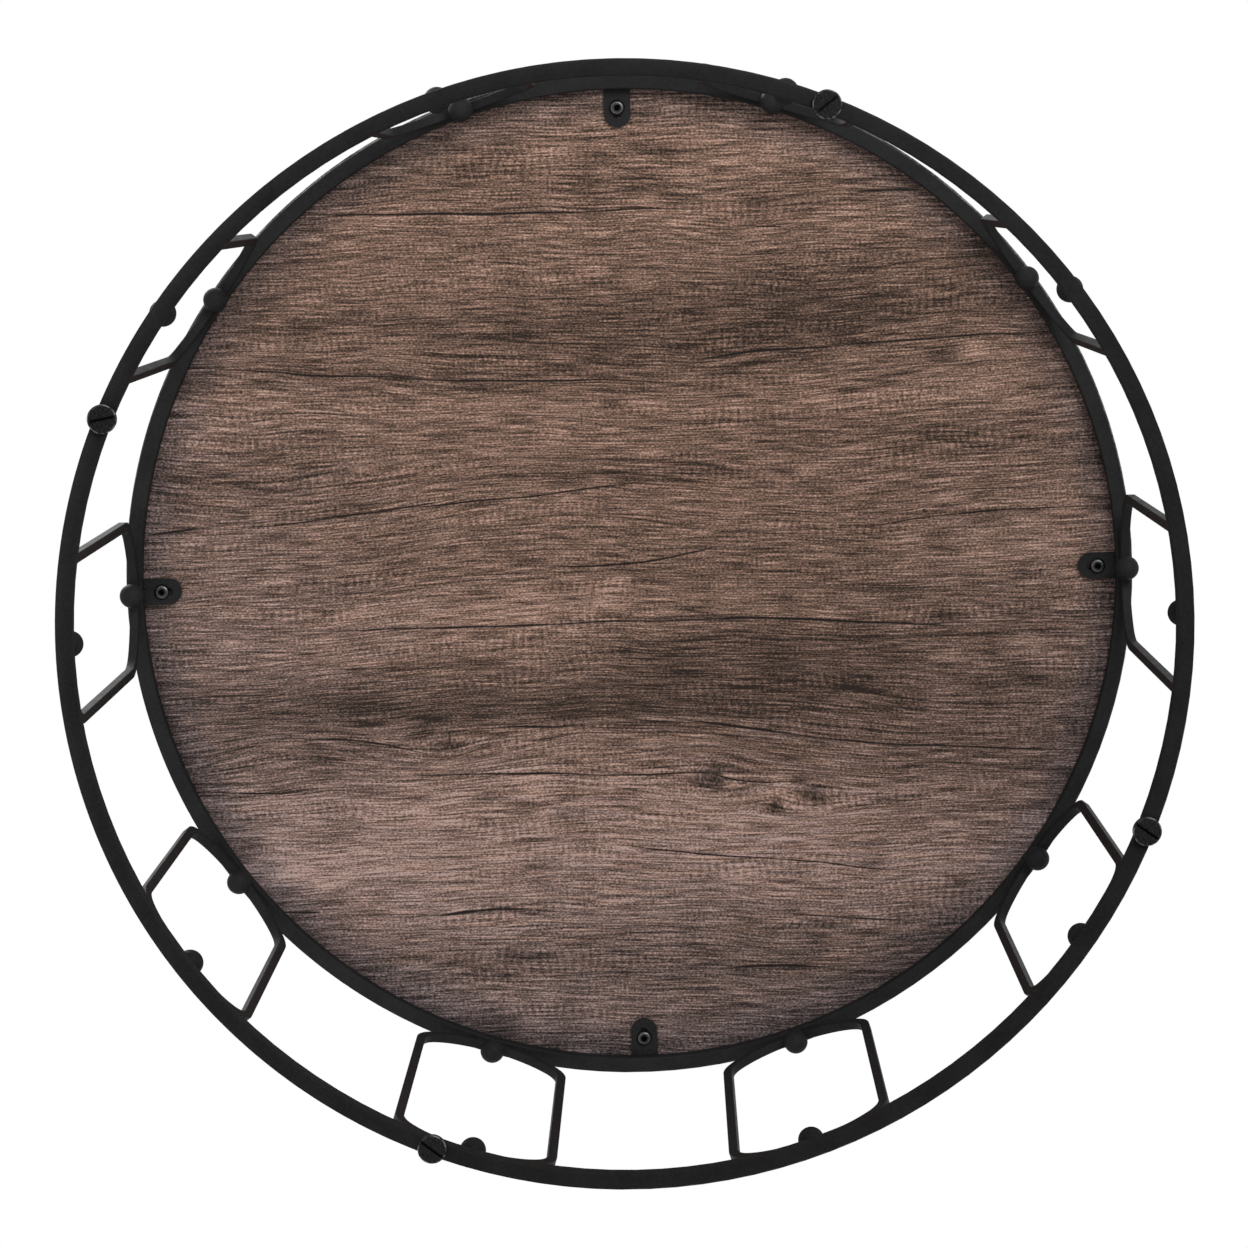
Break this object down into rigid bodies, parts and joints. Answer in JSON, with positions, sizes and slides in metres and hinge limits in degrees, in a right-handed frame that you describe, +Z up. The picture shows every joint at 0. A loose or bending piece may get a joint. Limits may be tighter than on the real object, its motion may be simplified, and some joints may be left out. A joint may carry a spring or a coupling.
{
  "type": "round low table",
  "caption": "Low round table: a wood-look top on an open black steel frame of upright loops between two rings, standing on levelling glides.",
  "frame": {"origin": "on the floor, on the table's axis, under the glides", "axes": "+Z up along the axis; +X from the axis through the first loop and the first tab"},
  "size_m": [0.807, 0.804, 0.3885],
  "materials": {
    "frame_paint": "black powder coat, satin, with a fine texture",
    "glide_nylon": "matt black",
    "zinc_steel": "zinc plated",
    "black_screw": "black zinc, dull",
    "insert_brass": "machined",
    "wood_laminate": "rough-sawn wood decor laminate, matt",
    "board_core": "raw particle board",
    "edge_band": "matt wood-grain band"
  },
  "bodies": {
    "frame": {"bottom_ring": "frame_paint", "top_ring": "frame_paint", "loop_01": "frame_paint", "lower_ball_01": "frame_paint", "upper_ball_01": "frame_paint", "loop_02": "frame_paint", "lower_ball_02": "frame_paint", "upper_ball_02": "frame_paint", "loop_03": "frame_paint", "lower_ball_03": "frame_paint", "upper_ball_03": "frame_paint", "loop_04": "frame_paint", "lower_ball_04": "frame_paint", "upper_ball_04": "frame_paint", "loop_05": "frame_paint", "lower_ball_05": "frame_paint", "upper_ball_05": "frame_paint", "loop_06": "frame_paint", "lower_ball_06": "frame_paint", "upper_ball_06": "frame_paint", "loop_07": "frame_paint", "lower_ball_07": "frame_paint", "upper_ball_07": "frame_paint", "loop_08": "frame_paint", "lower_ball_08": "frame_paint", "upper_ball_08": "frame_paint", "loop_09": "frame_paint", "lower_ball_09": "frame_paint", "upper_ball_09": "frame_paint", "loop_10": "frame_paint", "lower_ball_10": "frame_paint", "upper_ball_10": "frame_paint", "tab_1": "frame_paint", "screw_1": "black_screw", "insert_1": "insert_brass", "tab_2": "frame_paint", "screw_2": "black_screw", "insert_2": "insert_brass", "tab_3": "frame_paint", "screw_3": "black_screw", "insert_3": "insert_brass", "tab_4": "frame_paint", "screw_4": "black_screw", "insert_4": "insert_brass", "lower_laminate": "wood_laminate", "upper_laminate": "wood_laminate", "top_core": "board_core", "edge_band": "edge_band"},
    "glide_1_stem": {"glide_stem_1": "zinc_steel"},
    "glide_1_pad": {"glide_pad_1": "glide_nylon"},
    "glide_2_stem": {"glide_stem_2": "zinc_steel"},
    "glide_2_pad": {"glide_pad_2": "glide_nylon"},
    "glide_3_stem": {"glide_stem_3": "zinc_steel"},
    "glide_3_pad": {"glide_pad_3": "glide_nylon"},
    "glide_4_stem": {"glide_stem_4": "zinc_steel"},
    "glide_4_pad": {"glide_pad_4": "glide_nylon"}
  },
  "joints": [
    {"name": "glide_1_travel", "type": "slide", "parent": "frame", "child": "glide_1_stem", "axis": [0, 0, -1], "range_m": [0, 0.005]},
    {"name": "glide_1_turn", "type": "hinge", "parent": "glide_1_stem", "child": "glide_1_pad", "pos_m": [0.36374, 0.15141, 0], "axis": [0, 0, 1], "range_deg": [0, 1800]},
    {"name": "glide_2_travel", "type": "slide", "parent": "frame", "child": "glide_2_stem", "axis": [0, 0, -1], "range_m": [0, 0.005]},
    {"name": "glide_2_turn", "type": "hinge", "parent": "glide_2_stem", "child": "glide_2_pad", "pos_m": [-0.14887, 0.36479, 0], "axis": [0, 0, 1], "range_deg": [0, 1800]},
    {"name": "glide_3_travel", "type": "slide", "parent": "frame", "child": "glide_3_stem", "axis": [0, 0, -1], "range_m": [0, 0.005]},
    {"name": "glide_3_turn", "type": "hinge", "parent": "glide_3_stem", "child": "glide_3_pad", "pos_m": [-0.35994, -0.16025, 0], "axis": [0, 0, 1], "range_deg": [0, 1800]},
    {"name": "glide_4_travel", "type": "slide", "parent": "frame", "child": "glide_4_stem", "axis": [0, 0, -1], "range_m": [0, 0.005]},
    {"name": "glide_4_turn", "type": "hinge", "parent": "glide_4_stem", "child": "glide_4_pad", "pos_m": [0.14951, -0.36453, 0], "axis": [0, 0, 1], "range_deg": [0, 1800]}
  ],
  "couplings": [
    {"joint": "glide_1_travel", "follows": "glide_1_turn", "m_per_rad": 0.00015915},
    {"joint": "glide_2_travel", "follows": "glide_2_turn", "m_per_rad": 0.00015915},
    {"joint": "glide_3_travel", "follows": "glide_3_turn", "m_per_rad": 0.00015915},
    {"joint": "glide_4_travel", "follows": "glide_4_turn", "m_per_rad": 0.00015915}
  ]
}
